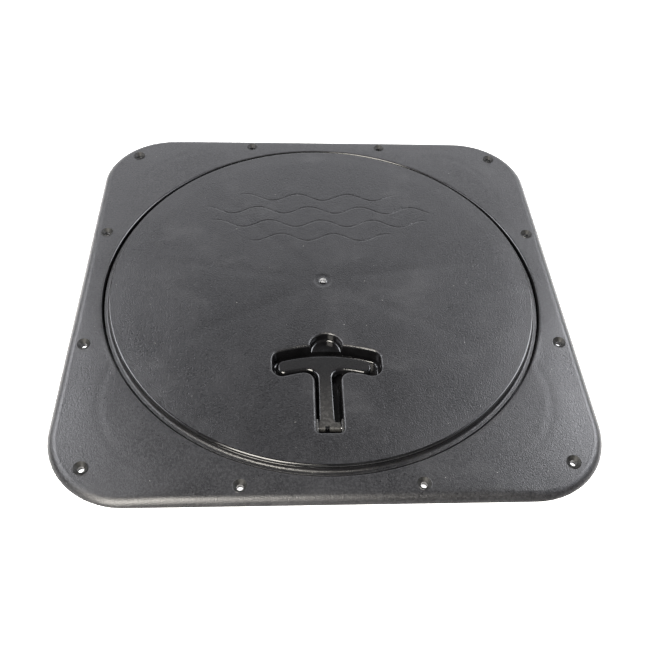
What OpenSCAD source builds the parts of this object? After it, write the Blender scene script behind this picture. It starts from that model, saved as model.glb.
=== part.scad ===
// Square deck hatch with a round press-in lid and a fold-flat T handle.
// Millimetres. The deck's surface is z = 0, and the lid's centre is x = y = 0.
// The handle lies along -Y when it is folded.

/* [Deck frame] */
// Side of the square flange, across its foot
frame_w = 381; // [378:1:400]
// Corner radius of the flange, at its foot
frame_corner_r = 58; // [54:1:66]
// Thickness of the flange
flange_t = 5; // [4.5:0.5:6]
// Radius of the flange's rolled edge
edge_r = 8.8; // [7:0.2:9.6]
// Radius of the round recess that takes the lid's brim
recess_r = 171.5; // [171.5:0.5:173]
// Rounding of the recess's rim
recess_rim_r = 1.8; // [1:0.2:2]
// Depth of the seat below the flange's top
seat_depth = 5.9; // [5.5:0.1:7]
// Radius of the clear throat
throat_r = 158.5; // [158.5:0.1:159]
// Wall thickness of the collar and of the recess
collar_wall = 3.6; // [3:0.2:4]
// Depth of the collar below the deck's surface
collar_depth = 24; // [20:1:40]
// Number of gussets between the collar and the recess
gussets = 12; // [6:1:24]

/* [Screw holes] */
// Pitch of the four corner holes, both ways
corner_pitch = 327; // [320:1:328]
// Pitch of the two holes along each side
side_pitch = 120; // [100:1:130]
// Distance between the rows of side holes on opposite sides
side_rows = 356.4; // [356:0.1:358]
// Diameter of a screw hole
screw_hole_d = 4.4; // [4:0.1:5]
// Diameter of the countersink at the surface
countersink_d = 9.2; // [8:0.1:10]

/* [Deck gasket] */
// Thickness of the gasket under the flange
gasket_t = 1.5; // [1:0.5:2]
// How far the gasket stays in from the flange's edge
gasket_inset = 4; // [3:0.5:6]

/* [Lid] */
// Radius of the lid's raised top
lid_r = 166.8; // [166:0.2:167]
// Radius of the lid's brim
brim_r = 170.5; // [169.5:0.1:170.5]
// Thickness of the brim
brim_t = 3; // [2.5:0.1:3]
// Height of the lid's edge above the flange
lid_proud = 3.3; // [3:0.1:5]
// Rise of the lid's middle above its edge
crown = 1; // [0.5:0.1:2]
// Thickness of the lid's plate
lid_t = 4; // [3:0.2:4.2]
// Number of ribs under the lid
ribs = 9; // [6:1:12]
// Thickness of a rib
rib_t = 2.5; // [2:0.1:3]
// Depth of a rib under the plate
rib_depth = 7; // [5:1:8]

/* [Lid seal] */
// Thickness of the round seal
seal_d = 4.3; // [4:0.1:4.3]

/* [Handle recess] */
// Depth of the T-shaped pan below the lid's top
pan_depth = 13; // [11:0.5:14]
// Half the pan's width across the grip
pan_half_w = 39.3; // [38:0.1:41]
// Half the pan's width along the stem
pan_stem_half_w = 9.2; // [9:0.1:9.6]
// Wall thickness of the pan
pan_wall = 2.5; // [2:0.1:3]
// Radius of the finger scoop
scoop_r = 11.8; // [10:0.1:12.5]
// Depth of the finger scoop below the lid's top
scoop_depth = 7.7; // [6:0.1:9]

/* [Handle] */
// Half the length of the grip
grip_half_w = 33.9; // [30:0.1:35]
// Width of the grip, front to back
grip_h = 12.4; // [11:0.1:13]
// Width of the stem
stem_w = 10.2; // [8:0.1:10.6]
// Sideways offset of the stem and the grip from the foot's middle
stem_offset = -1.7; // [-2:0.1:2]
// Thickness of the handle
handle_t = 5.5; // [5:0.1:5.5]
// How far the handle lies below the lid's top
handle_drop = 3.6; // [3:0.1:4]
// Width of the foot, between the keepers
foot_w = 15.6; // [14:0.1:15.6]
// Radius of the rounded foot
foot_r = 2.9; // [2.8:0.1:3]
// Distance of the pivot from the lid's centre
pivot_y = 134.1; // [133:0.1:135]
// Diameter of the pivot pin
pin_d = 3; // [2.5:0.1:3]

/* [Hidden] */
$fn = 64;
ring_fn = 240;                 // facets of the large circles
cut = 1;                       // how far a cut runs past a surface
running_gap = 0.05;            // radial clearance of the handle on its pin
fit_gap = 0.02;                // clearance of pieces pressed together
side_gap = 0.3;                // clearance between the foot and each keeper

// Frame
flange_top = gasket_t + flange_t;
seat_z = flange_top - seat_depth;
corner_at = frame_w / 2 - frame_corner_r;
edge_out = sqrt(pow(edge_r, 2) - pow(edge_r - flange_t, 2));
flat_run = frame_corner_r - edge_out;
throat_lead = 1.6;             // chamfer that leads the seal into the throat
seat_floor_t = 3.2;            // thickness of the seat
gusset_t = 3;
gusset_bite = 1.2;             // how far a gusset reaches into the collar's wall

// Lid
lid_edge_z = flange_top + lid_proud;
plate_z = lid_edge_z - lid_t;
brim_z = seat_z + 0.2;
lid_edge_r = 1.2;              // rounding of the lid's top edge
cove_r = 2;                    // hollow fillet between the lid's wall and its brim
rim_wall = 3.5;                // thickness of the lid's outer wall
crown_steps = 8;
arc_steps = 6;
skirt_r = 153.6;
skirt_wall = 3.4;
skirt_z = -15;
gland_r = 157.8;
gland_rim_t = 3;
gland_z = -8;                  // middle of the seal's groove
gland_w = 5.4;
hub_r = 14;
gate_r = 8;                    // shallow dimple round the lid's moulding gate
gate_depth = 0.5;
gate_mark_r = 4;
seal_r = skirt_r + side_gap + seal_d / 2;

// Handle recess, from the lid's centre towards -Y
pan_back_y = -65.8;
pan_front_y = -88.5;
pan_end_y = -140.8;
pan_curve_r = 112;
pan_corner_r = 7;
pan_foot_corner_r = 3;
pan_fillet_r = 8;
scoop_y = -66.7;

// Handle
lid_top_z = lid_edge_z + crown * 0.7;     // lid's top where the handle lies
handle_top = lid_top_z - handle_drop;
pivot_z = handle_top - foot_r;
pan_floor = lid_top_z - pan_depth;
scoop_floor = lid_top_z - scoop_depth;
grip_back_y = -72.9;
grip_corner_r = 4.8;
handle_fillet_r = 8;
foot_l = 3.4;                  // length of the square part of the foot
notch_w = 3;
notch_depth = 1.1;

// Keepers
keeper_t = 2.8;
keeper_l = 10.8;
keeper_at = foot_w / 2 + side_gap;
keeper_mid_y = -pivot_y - 0.6;
keeper_top = lid_top_z - 1.6;
keeper_bottom = pivot_z - 4.4;

moulded = [0.25, 0.25, 0.27];
steel = [0.75, 0.76, 0.78];
rubber_black = [0.07, 0.07, 0.07];
foam_black = [0.12, 0.12, 0.12];

// ---------- Shared shapes ----------

// Section of the flange: a flat run, then an arc that rolls down to the foot
module flange_section() {
    square([flat_run, flange_t]);
    intersection() {
        translate([flat_run, 0]) square([edge_out + cut, flange_t]);
        translate([flat_run, flange_t - edge_r]) circle(r = edge_r);
    }
}

// Square slab with round corners, centred, standing on z = 0
module round_slab(half, corner_r, t) {
    inner = half - corner_r;
    linear_extrude(t) {
        square([2 * half, 2 * inner], center = true);
        square([2 * inner, 2 * half], center = true);
        for (x = [-inner, inner], y = [-inner, inner])
            translate([x, y]) circle(r = corner_r);
    }
}

// Puts its children at every screw hole
module at_screws() {
    c = corner_pitch / 2;
    p = side_pitch / 2;
    r = side_rows / 2;
    for (x = [-c, c], y = [-c, c]) translate([x, y]) children();
    for (x = [-p, p], y = [-r, r]) translate([x, y]) children();
    for (x = [-r, r], y = [-p, p]) translate([x, y]) children();
}

// Bar across the T, bowed away from the foot, with round corners
module bowed_bar(half_w, back_y, front_y, corner_r) {
    offset(r = corner_r) offset(delta = -corner_r)
        intersection() {
            translate([0, back_y - pan_curve_r]) circle(r = pan_curve_r, $fn = ring_fn);
            difference() {
                translate([-half_w, -200]) square([2 * half_w, 200]);
                translate([0, front_y - pan_curve_r]) circle(r = pan_curve_r, $fn = ring_fn);
            }
        }
}

// Outline of the pan, or of its shell where grow is more than zero
module pan_outline(grow = 0) {
    offset(r = -pan_fillet_r) offset(delta = pan_fillet_r) {
        bowed_bar(pan_half_w + grow, pan_back_y + grow, pan_front_y - grow, pan_corner_r + grow);
        half = pan_stem_half_w + grow;
        length = pan_back_y - pan_end_y + grow - 10;
        offset(r = pan_foot_corner_r + grow) offset(delta = -pan_foot_corner_r - grow)
            translate([-half, pan_end_y - grow]) square([2 * half, length]);
    }
}

// Outline of the handle's grip and stem
module handle_outline() {
    offset(r = -handle_fillet_r) offset(delta = handle_fillet_r)
        translate([stem_offset, 0]) {
            bowed_bar(grip_half_w, grip_back_y, grip_back_y - grip_h, grip_corner_r);
            translate([-stem_w / 2, -pivot_y + foot_l - 0.5])
                square([stem_w, pivot_y - foot_l + grip_back_y - grip_h / 2]);
        }
}

// ---------- Frame ----------

module flange_blank() {
    translate([0, 0, gasket_t]) {
        translate([-corner_at, -corner_at]) cube([2 * corner_at, 2 * corner_at, flange_t]);
        for (turn = [0:90:270]) rotate(turn) {
            translate([corner_at, 0, 0]) rotate([90, 0, 0])
                linear_extrude(2 * corner_at, center = true) flange_section();
            translate([corner_at, corner_at, 0])
                rotate_extrude(angle = 90) flange_section();
        }
    }
}

// Outside of the recess, its seat and the collar
module collar_blank() {
    tub_r = recess_r + collar_wall;
    collar_r = throat_r + collar_wall;
    under_seat = seat_z - seat_floor_t;
    rotate_extrude($fn = ring_fn) polygon([
        [throat_r - 2, -collar_depth],
        [collar_r, -collar_depth],
        [collar_r, under_seat - 2],
        [collar_r + 2, under_seat],
        [tub_r, under_seat],
        [tub_r, gasket_t + cut],
        [throat_r - 2, gasket_t + cut]
    ]);
}

module collar_gussets() {
    collar_r = throat_r + collar_wall;
    reach = recess_r + collar_wall - collar_r;
    top = seat_z - seat_floor_t + gusset_bite;
    for (i = [0:gussets - 1]) rotate(i * 360 / gussets + 15)
        translate([collar_r - gusset_bite, gusset_t / 2, 0]) rotate([90, 0, 0])
            linear_extrude(gusset_t) polygon([
                [0, -collar_depth + 6],
                [gusset_bite, -collar_depth + 6],
                [reach + gusset_bite, top - gusset_bite - 1],
                [reach + gusset_bite, top],
                [0, top]
            ]);
}

// Throat, seat and recess, with a rounded rim
module lid_opening() {
    rotate_extrude($fn = ring_fn) {
        polygon([
            [0, -collar_depth - cut],
            [throat_r, -collar_depth - cut],
            [throat_r, seat_z - throat_lead],
            [throat_r + throat_lead, seat_z],
            [recess_r, seat_z],
            [recess_r, flange_top + cut],
            [0, flange_top + cut]
        ]);
        difference() {
            translate([recess_r - cut, flange_top - recess_rim_r])
                square([recess_rim_r + cut, recess_rim_r + cut]);
            translate([recess_r + recess_rim_r, flange_top - recess_rim_r])
                circle(r = recess_rim_r);
        }
    }
}

module screw_hole() {
    sink = (countersink_d - screw_hole_d) / 2;
    translate([0, 0, gasket_t - cut]) cylinder(d = screw_hole_d, h = flange_t + 2 * cut);
    translate([0, 0, flange_top - sink])
        cylinder(d1 = screw_hole_d, d2 = countersink_d + 2 * cut, h = sink + cut);
}

module deck_frame() {
    color(moulded) difference() {
        union() {
            flange_blank();
            collar_blank();
            collar_gussets();
        }
        lid_opening();
        at_screws() screw_hole();
    }
}

module deck_gasket() {
    color(foam_black) difference() {
        round_slab(frame_w / 2 - gasket_inset, frame_corner_r - gasket_inset, gasket_t);
        translate([0, 0, -cut])
            cylinder(r = recess_r + collar_wall + 1.5, h = gasket_t + 2 * cut, $fn = ring_fn);
        at_screws() translate([0, 0, -cut]) cylinder(d = screw_hole_d, h = gasket_t + 2 * cut);
    }
}

// ---------- Lid ----------

// Points of an arc, from one angle to another
function arc(centre, r, from, to) = [
    for (i = [0:arc_steps]) let (a = from + (to - from) * i / arc_steps)
        centre + r * [cos(a), sin(a)]
];

// Top of the lid from its middle to its edge
function crown_line() = let (reach = lid_r - lid_edge_r) [
    for (i = [0:crown_steps - 1]) let (r = reach * i / crown_steps)
        [r, lid_edge_z + crown * (1 - pow(r / reach, 2))]
];

module lid_body() {
    rotate_extrude($fn = ring_fn) polygon(concat(
        crown_line(),
        arc([lid_r - lid_edge_r, lid_edge_z - lid_edge_r], lid_edge_r, 90, 0),
        arc([lid_r + cove_r, brim_z + brim_t + cove_r], cove_r, 180, 270),
        [
            [brim_r, brim_z + brim_t],
            [brim_r, brim_z],
            [lid_r - rim_wall, brim_z],
            [lid_r - rim_wall, plate_z],
            [skirt_r, plate_z],
            [skirt_r, gland_z + gland_w / 2 + gland_rim_t],
            [gland_r, gland_z + gland_w / 2 + gland_rim_t],
            [gland_r, gland_z + gland_w / 2],
            [skirt_r, gland_z + gland_w / 2],
            [skirt_r, gland_z - gland_w / 2],
            [gland_r, gland_z - gland_w / 2],
            [gland_r, gland_z - gland_w / 2 - gland_rim_t / 2],
            [gland_r - gland_rim_t / 2, gland_z - gland_w / 2 - gland_rim_t],
            [skirt_r, gland_z - gland_w / 2 - gland_rim_t],
            [skirt_r, skirt_z],
            [skirt_r - skirt_wall, skirt_z],
            [skirt_r - skirt_wall, plate_z],
            [0, plate_z]
        ]
    ));
}

module lid_ribs() {
    translate([0, 0, plate_z - rib_depth]) {
        cylinder(r = hub_r, h = rib_depth + cut);
        for (i = [0:ribs - 1]) rotate(90 + i * 360 / ribs)
            translate([0, -rib_t / 2]) cube([skirt_r - skirt_wall / 2, rib_t, rib_depth + cut]);
    }
}

// Space that a keeper fills, on the side that x says
module keeper_block(x, gap) {
    translate([x * (keeper_at + keeper_t / 2), keeper_mid_y, (keeper_bottom + keeper_top) / 2])
        cube([keeper_t + 2 * gap, keeper_l + 2 * gap, keeper_top - keeper_bottom + 2 * gap], center = true);
}

module pan_shell() {
    depth = plate_z + cut - pan_floor + pan_wall;
    translate([0, 0, pan_floor - pan_wall]) linear_extrude(depth) pan_outline(pan_wall);
    translate([0, scoop_y, scoop_floor - pan_wall])
        cylinder(r = scoop_r + pan_wall, h = plate_z + cut - scoop_floor + pan_wall);
    for (x = [-1, 1]) intersection() {
        keeper_block(x, pan_wall);
        translate([-20, -200, -50]) cube([40, 200, plate_z + cut + 50]);
    }
}

module pan_cavity() {
    top = lid_edge_z + crown + cut;
    translate([0, 0, pan_floor]) linear_extrude(top - pan_floor) pan_outline();
    translate([0, scoop_y, scoop_floor]) cylinder(r = scoop_r, h = top - scoop_floor);
    for (x = [-1, 1]) {
        keeper_block(x, fit_gap);
        translate([0, 0, 4]) keeper_block(x, fit_gap);
    }
}

module gate_dimple() {
    top = lid_edge_z + crown;
    translate([0, 0, top - gate_depth]) difference() {
        cylinder(r = gate_r, h = gate_depth + cut);
        translate([0, 0, -cut]) cylinder(r1 = gate_mark_r + 1, r2 = gate_mark_r, h = cut + gate_depth * 0.6);
    }
}

module lid() {
    color(moulded) difference() {
        union() {
            lid_body();
            lid_ribs();
            pan_shell();
        }
        pan_cavity();
        gate_dimple();
    }
}

module lid_seal() {
    color(rubber_black) translate([0, 0, gland_z])
        rotate_extrude($fn = ring_fn) translate([seal_r, 0]) circle(d = seal_d);
}

// ---------- Handle ----------

// Cylinder along X, centred on the pivot
module pivot_bar(r, length) {
    translate([0, -pivot_y, pivot_z]) rotate([0, 90, 0]) cylinder(r = r, h = length, center = true);
}

module handle() {
    color(moulded) difference() {
        union() {
            translate([0, 0, handle_top - handle_t]) linear_extrude(handle_t) handle_outline();
            pivot_bar(foot_r, foot_w);
            translate([-foot_w / 2, -pivot_y, handle_top - handle_t]) cube([foot_w, foot_l, handle_t]);
        }
        pivot_bar(pin_d / 2 + running_gap, foot_w + 2 * cut);
        translate([stem_offset - notch_w / 2, -pivot_y - foot_r - cut, pivot_z - foot_r - cut])
            cube([notch_w, cut + notch_depth, 2 * foot_r + 2 * cut]);
    }
}

module handle_pin() {
    color(steel) pivot_bar(pin_d / 2, 2 * (keeper_at + keeper_t));
}

module pin_keepers() {
    color(moulded) difference() {
        for (x = [-1, 1]) keeper_block(x, 0);
        pivot_bar(pin_d / 2 + fit_gap, 2 * (keeper_at + keeper_t + cut));
    }
}

deck_frame();
deck_gasket();
lid();
lid_seal();
handle();
handle_pin();
pin_keepers();
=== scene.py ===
"""Looks of the deck hatch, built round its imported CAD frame. The mesh code is in millimetres."""

from collections import namedtuple
from math import acos, atan2, cos, degrees, hypot, pi, radians, sin, sqrt

import bmesh
import bpy
import numpy as np
from mathutils import Matrix, Vector
from mathutils.geometry import delaunay_2d_cdt


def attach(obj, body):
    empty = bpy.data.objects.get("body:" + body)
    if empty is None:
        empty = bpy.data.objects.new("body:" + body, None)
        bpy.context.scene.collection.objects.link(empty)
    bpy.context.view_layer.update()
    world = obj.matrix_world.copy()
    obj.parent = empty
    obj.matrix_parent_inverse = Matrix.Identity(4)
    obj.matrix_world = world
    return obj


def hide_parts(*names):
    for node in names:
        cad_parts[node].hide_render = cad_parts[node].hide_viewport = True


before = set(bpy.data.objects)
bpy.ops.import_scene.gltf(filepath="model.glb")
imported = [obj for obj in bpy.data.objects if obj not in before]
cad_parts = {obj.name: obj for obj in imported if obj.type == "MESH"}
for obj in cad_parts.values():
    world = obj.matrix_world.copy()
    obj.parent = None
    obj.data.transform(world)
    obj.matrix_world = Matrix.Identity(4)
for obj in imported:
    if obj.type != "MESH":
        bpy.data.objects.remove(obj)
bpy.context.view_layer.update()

MM = 0.001
RING = 360                      # points round the large circles
SHARP_DEG = 34                  # edges that turn more than this stay crisp

# Deck frame
FRAME_W = 381
CORNER_R = 58
GASKET_T = 1.5
FLANGE_T = 5
FLANGE_TOP = GASKET_T + FLANGE_T
EDGE_R = 8.8
EDGE_TURN = acos(1 - FLANGE_T / EDGE_R)
FLAT_RUN = CORNER_R - EDGE_R * sin(EDGE_TURN)
CORNER_AT = FRAME_W / 2 - CORNER_R
RECESS_R = 171.5
RECESS_RIM_R = 1.8
SEAT_Z = 0.6
SEAT_FLOOR_Z = -2.6
THROAT_R = 158.5
COLLAR_R = 162.1
TUB_R = 175.1
COLLAR_Z = -24
GUSSETS = 12
GUSSET_TURN = 15                # degrees from X to the first gusset
GUSSET_HALF = 1.5               # half a gusset's thickness
GUSSET_FOOT_Z = -18             # a gusset's lowest point, at the collar
GUSSET_TIP_Z = -6.2             # its underside at its outer end
CORNER_PITCH = 327
SIDE_PITCH = 120
SIDE_ROWS = 356.4
HOLE_R = 2.2
SINK_R = 4.6
HOLE_STEPS = 36                 # points round a screw hole
CREASE_AT = (96, 106)           # middle of the soft crease across each corner of the flange
CREASE_R = 64
CREASE_DEPTH = 0.17
CREASE_WIDTH = 2.8
DROOP = 1.25                    # how far a corner hangs beyond its crease, in the end
DROOP_RUN = 28
FALL = 0.022                    # slope of the flange outside the recess

# Lid
LID_R = 166.8
LID_EDGE_R = 1.7
LID_EDGE_Z = 9.8
CROWN = 1
PLATE_Z = 5.8
BRIM_R = 170.5
BRIM_Z = 0.8
BRIM_TOP = 3.8
COVE_R = 2
RIM_IN = 163.3
SKIRT_R = 153.6
SKIRT_IN = 150.2
SKIRT_Z = -15
GLAND_R = 157.8
GLAND_Z = -8
GLAND_W = 5.4
SEAL_R = 156.05
SEAL_D = 4.3
RIBS = 9
RIB_HALF = 1.25
RIB_Z = -1.2
HUB_R = 14
RIB_SINK = 0.17                 # hollow in the top face over a rib
RIB_SINK_WIDTH = 4.5
EDGE_BAND = 17                  # width of the band in which the dome falls faster
GATE_R = 8                      # dimple round the moulding gate
STUB_R = 3.6                    # the trimmed gate in it

# Handle recess
Tee = namedtuple("Tee", "half_w back_y front_y corner_r stem_half fillet_r")
CURVE_R = 112                   # bow of the grip and of its recess
PAN = Tee(39.3, -65.8, -88.5, 7, 9.2, 8)
PAN_END = -140.8
PAN_FOOT_R = 3
PAN_WALL = 2.5
PAN_RIM_R = 2
PAN_FLOOR = -2.5
PAN_FLOOR_R = 2.4
SCOOP_R = 11.8
SCOOP_Y = -66.7
SCOOP_FLOOR = 2.8
SCOOP_FLOOR_R = 1.9

# Handle
GRIP = Tee(33.9, -72.9, -85.3, 4.8, 5.1, 8)
STEM_X = -1.7
STEM_SPREAD = 0.5               # how much the stem widens towards the foot, on each side
HANDLE_TOP = 6.9
HANDLE_BOTTOM = 1.4
FOOT_HALF = 7.8
FOOT_R = 2.9
FOOT_BACK = -130.7
PIVOT_Y = -134.1
PIVOT_Z = 4.0
NOTCH_HALF = 1.5
NOTCH_Y = -135.8
PIN_R = 1.5
PIN_HALF = 10.9
PIN_STEPS = 32                  # points round the pin and its bore
KEEPER_X = (8.1, 10.9)
KEEPER_Y = (-140.1, -129.3)
KEEPER_Z = (-0.4, 8.9)


# ---------- Mesh tools ----------

def arc(centre, r, start, end, steps):
    """Points of an arc, both ends included. Angles are in degrees."""
    angles = [radians(start + (end - start) * i / steps) for i in range(steps + 1)]
    return [(centre[0] + r * cos(a), centre[1] + r * sin(a)) for a in angles]


def between(p, q, count):
    """The given number of evenly spaced points between p and q, without either."""
    steps = [(i + 1) / (count + 1) for i in range(count)]
    return [(p[0] + (q[0] - p[0]) * t, p[1] + (q[1] - p[1]) * t) for t in steps]


def soften(line, r, steps=3):
    """Rounds the inner corners of an open line with arcs."""
    result = [line[0]]
    for before, corner, after in zip(line, line[1:], line[2:]):
        at = Vector(corner)
        back, forth = Vector(before) - at, Vector(after) - at
        turn = pi - back.angle(forth)
        if turn < radians(5):
            result.append(corner)
            continue
        reach = min(r * sin(turn / 2) / cos(turn / 2), back.length * 0.45, forth.length * 0.45)
        start, end = at + back.normalized() * reach, at + forth.normalized() * reach
        for i in range(steps + 1):
            t = i / steps
            point = start * (1 - t) ** 2 + at * 2 * t * (1 - t) + end * t ** 2
            result.append((point.x, point.y))
    return result + [line[-1]]


def left_of(right):
    """The left half of an outline, from its right half, whose first point is on the axis."""
    return [(-x, y) for x, y in reversed(right[1:])]


def circle_angles(count):
    return [2 * pi * i / count for i in range(count)]


def enclosed(points, loops):
    """Which points are inside the outer loop and outside the holes."""
    inside = np.zeros(len(points), bool)
    x, y = points[:, :1], points[:, 1:]
    for loop in loops:
        ax, ay = loop[:, 0], loop[:, 1]
        bx, by = np.roll(ax, -1), np.roll(ay, -1)
        rise = np.where(by == ay, 1, by - ay)
        crosses = ((ay > y) != (by > y)) & (x < ax + (y - ay) * (bx - ax) / rise)
        inside ^= np.count_nonzero(crosses, axis=1) % 2 == 1
    return inside


def far_from(points, others, distance):
    """Which points are at least that distance from all the others."""
    clear = np.ones(len(points), bool)
    for other in others:
        clear &= np.hypot(points[:, 0] - other[0], points[:, 1] - other[1]) > distance
    return clear


def lattice(reach, spacing):
    """A grid of points in staggered rows that covers a square."""
    rows = np.arange(-reach, reach, spacing * sqrt(3) / 2)
    columns = np.arange(-reach, reach, spacing)
    points = [(x + spacing / 2 * (i % 2), y) for i, y in enumerate(rows) for x in columns]
    return np.array(points)


class Surface:
    """Points and faces of one piece."""

    def __init__(self):
        self.points = []
        self.faces = []

    def add(self, points):
        first = len(self.points)
        self.points.extend(points)
        return list(range(first, len(self.points)))

    def level(self, outline, z):
        """Adds an outline at one height."""
        return self.add([(x, y, z) for x, y in outline])

    def circle(self, r, z, centre=(0, 0), count=RING):
        x, y = centre
        return self.level([(x + r * cos(a), y + r * sin(a)) for a in circle_angles(count)], z)

    def lathe(self, profile, count=RING):
        """Turns a line of (radius, height) points about Z. Returns the first and the last ring."""
        rings = [self.circle(r, z, count=count) for r, z in profile]
        self.loft(rings)
        return rings[0], rings[-1]

    def bridge(self, a, b, closed=True):
        """Joins two rows of the same length with quads."""
        for i in range(len(a) if closed else len(a) - 1):
            j = (i + 1) % len(a)
            self.faces.append((a[i], a[j], b[j], b[i]))

    def loft(self, rows, closed=True):
        for a, b in zip(rows, rows[1:]):
            self.bridge(a, b, closed)

    def fill(self, loops, inner=(), height=lambda x, y: 0, gap=1.2):
        """Fills the area between closed loops with triangles that run through the inner points."""
        numbers, edges = [], []
        for loop in loops:
            first, count = len(numbers), len(loop)
            numbers += loop
            edges += [(first + i, first + (i + 1) % count) for i in range(count)]
        outlines = [np.array([self.points[i][:2] for i in loop]) for loop in loops]
        if len(inner):
            inner = np.array(inner)
            inner = inner[enclosed(inner, outlines)]
            inner = inner[far_from(inner, np.concatenate(outlines), gap)]
            numbers = numbers + self.add([(x, y, height(x, y)) for x, y in inner])
        flat = [Vector(self.points[i][:2]) for i in numbers]
        found, _, triangles, origins, _, _ = delaunay_2d_cdt(flat, edges, [], 0, 1e-6, True)
        middles = np.array([sum((found[i] for i in t), Vector((0, 0))) / 3 for t in triangles])
        kept = enclosed(middles, outlines)
        names = [numbers[origin[0]] for origin in origins]
        self.faces += [tuple(names[i] for i in t) for t, keep in zip(triangles, kept) if keep]

    def build(self, name):
        """Makes the closed mesh and its object."""
        mesh = bpy.data.meshes.new(name)
        mesh.from_pydata([(x * MM, y * MM, z * MM) for x, y, z in self.points], [], self.faces)
        piece = bpy.data.objects.new(name, mesh)
        bpy.context.scene.collection.objects.link(piece)
        tidy(piece)
        return piece


def tidy(piece):
    """Merges double points, turns the faces outwards and marks the crisp edges."""
    work = bmesh.new()
    work.from_mesh(piece.data)
    bmesh.ops.remove_doubles(work, verts=work.verts, dist=1e-6)
    bmesh.ops.dissolve_degenerate(work, edges=work.edges, dist=1e-7)
    bmesh.ops.recalc_face_normals(work, faces=work.faces)
    for face in work.faces:
        face.smooth = True
    for edge in work.edges:
        edge.smooth = edge.calc_face_angle(0) < radians(SHARP_DEG)
    work.to_mesh(piece.data)
    work.free()


def combine(piece, tool, operation):
    """Joins a tool to a piece, or cuts it out, and removes the tool."""
    change = piece.modifiers.new(operation, "BOOLEAN")
    change.operation = operation
    change.solver = "EXACT"
    change.object = tool
    bpy.context.view_layer.update()
    graph = bpy.context.evaluated_depsgraph_get()
    old, piece.data = piece.data, bpy.data.meshes.new_from_object(piece.evaluated_get(graph))
    piece.modifiers.clear()
    piece.data.name = piece.name
    bpy.data.meshes.remove(old)
    bpy.data.objects.remove(tool)
    tidy(piece)


def prism(name, outline, low, high):
    """A temporary solid from an outline and two heights."""
    solid = Surface()
    bottom, top = solid.level(outline, low), solid.level(outline, high)
    solid.bridge(bottom, top)
    solid.fill([bottom])
    solid.fill([top])
    return solid.build(name)


def smooth_step(t):
    t = min(max(t, 0), 1)
    return t * t * (3 - 2 * t)


# ---------- Deck frame ----------

def turned(x, y, turn):
    return x * cos(turn) - y * sin(turn), x * sin(turn) + y * cos(turn)


def rounded_square(grow, side_steps=42, corner_steps=22):
    """Outline whose corners have the given radius about the flange's corner centres."""
    points = []
    for quarter in range(4):
        turn = quarter * pi / 2
        corner = arc((CORNER_AT, CORNER_AT), grow, 0, 90, corner_steps)
        side = between(corner[-1], (-CORNER_AT, corner[-1][1]), side_steps)
        points += [turned(x, y, turn) for x, y in corner + side]
    return points


def screw_places():
    c, p, r = CORNER_PITCH / 2, SIDE_PITCH / 2, SIDE_ROWS / 2
    corners = [(x, y) for x in (-c, c) for y in (-c, c)]
    front_back = [(x, y) for x in (-p, p) for y in (-r, r)]
    sides = [(x, y) for x in (-r, r) for y in (-p, p)]
    return corners + front_back + sides


def past_flat(x, y):
    """Distance outside the flange's flat top, or zero."""
    across, along = max(abs(x) - CORNER_AT, 0), max(abs(y) - CORNER_AT, 0)
    return max(hypot(across, along) - FLAT_RUN, 0)


def flange_height(x, y):
    """Top of the flange: flat, rolled down at the edge, and drawn down a little as it cooled."""
    roll = past_flat(x, y)
    drop = EDGE_R - sqrt(max(EDGE_R ** 2 - roll ** 2, 0))
    return FLANGE_TOP - drop - flange_warp(x, y)


def flange_warp(x, y):
    """How far the flange has drawn down as it cooled.

    It falls slightly all round, and each corner has a crease and droops beyond it."""
    across, along = abs(x) - CREASE_AT[0], abs(y) - CREASE_AT[1]
    off = hypot(across, along) - CREASE_R
    turn = degrees(atan2(along, across))
    corner = smooth_step((turn + 45) / 30) * smooth_step((85 - turn) / 30)
    crease = CREASE_DEPTH * np.exp(-(off / CREASE_WIDTH) ** 2)
    droop = DROOP * (1 - np.exp(-max(off, 0) / DROOP_RUN))
    fall = FALL * max((x ** 8 + y ** 8) ** (1 / 8) - RECESS_R, 0)
    return corner * (crease + droop) + fall


def add_screw_hole(shell, centre):
    """A countersunk hole. Returns its rings in the flange's top and underside."""
    depth = SINK_R - HOLE_R
    profile = [(SINK_R + 0.45, 0), (SINK_R + 0.2, -0.05), (SINK_R, -0.22), (SINK_R - 0.25, -0.5)]
    profile += [(HOLE_R + 0.15, -depth + 0.1), (HOLE_R, -depth - 0.12)]
    tops = []
    for r, drop in profile:
        ring = shell.circle(r, 0, centre, HOLE_STEPS)
        for i in ring:
            x, y, _ = shell.points[i]
            edge = flange_height(x, y) if drop == 0 else FLANGE_TOP
            shell.points[i] = (x, y, edge + drop)
        tops.append(ring)
    bore = shell.circle(HOLE_R, GASKET_T + 0.25, centre, HOLE_STEPS)
    foot = shell.circle(HOLE_R + 0.25, GASKET_T, centre, HOLE_STEPS)
    shell.loft(tops + [bore, foot])
    return tops[0], foot


def recess_profile():
    """Section of the recess, the throat and the collar, from the flange's top to its underside."""
    rim = arc((RECESS_R + RECESS_RIM_R, FLANGE_TOP - RECESS_RIM_R), RECESS_RIM_R, 90, 180, 8)
    inside = [(RECESS_R, SEAT_Z), (THROAT_R + 1.6, SEAT_Z)]
    inside += [(THROAT_R, SEAT_Z - 1.6), (THROAT_R, COLLAR_Z)]
    outside = [(COLLAR_R, COLLAR_Z), (COLLAR_R, SEAT_FLOOR_Z - 2), (COLLAR_R + 2, SEAT_FLOOR_Z)]
    outside += [(TUB_R, SEAT_FLOOR_Z), (TUB_R, GASKET_T), (TUB_R + 1.5, GASKET_T)]
    return rim[:-1] + soften([rim[-1]] + inside + outside, 0.6)


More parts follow.
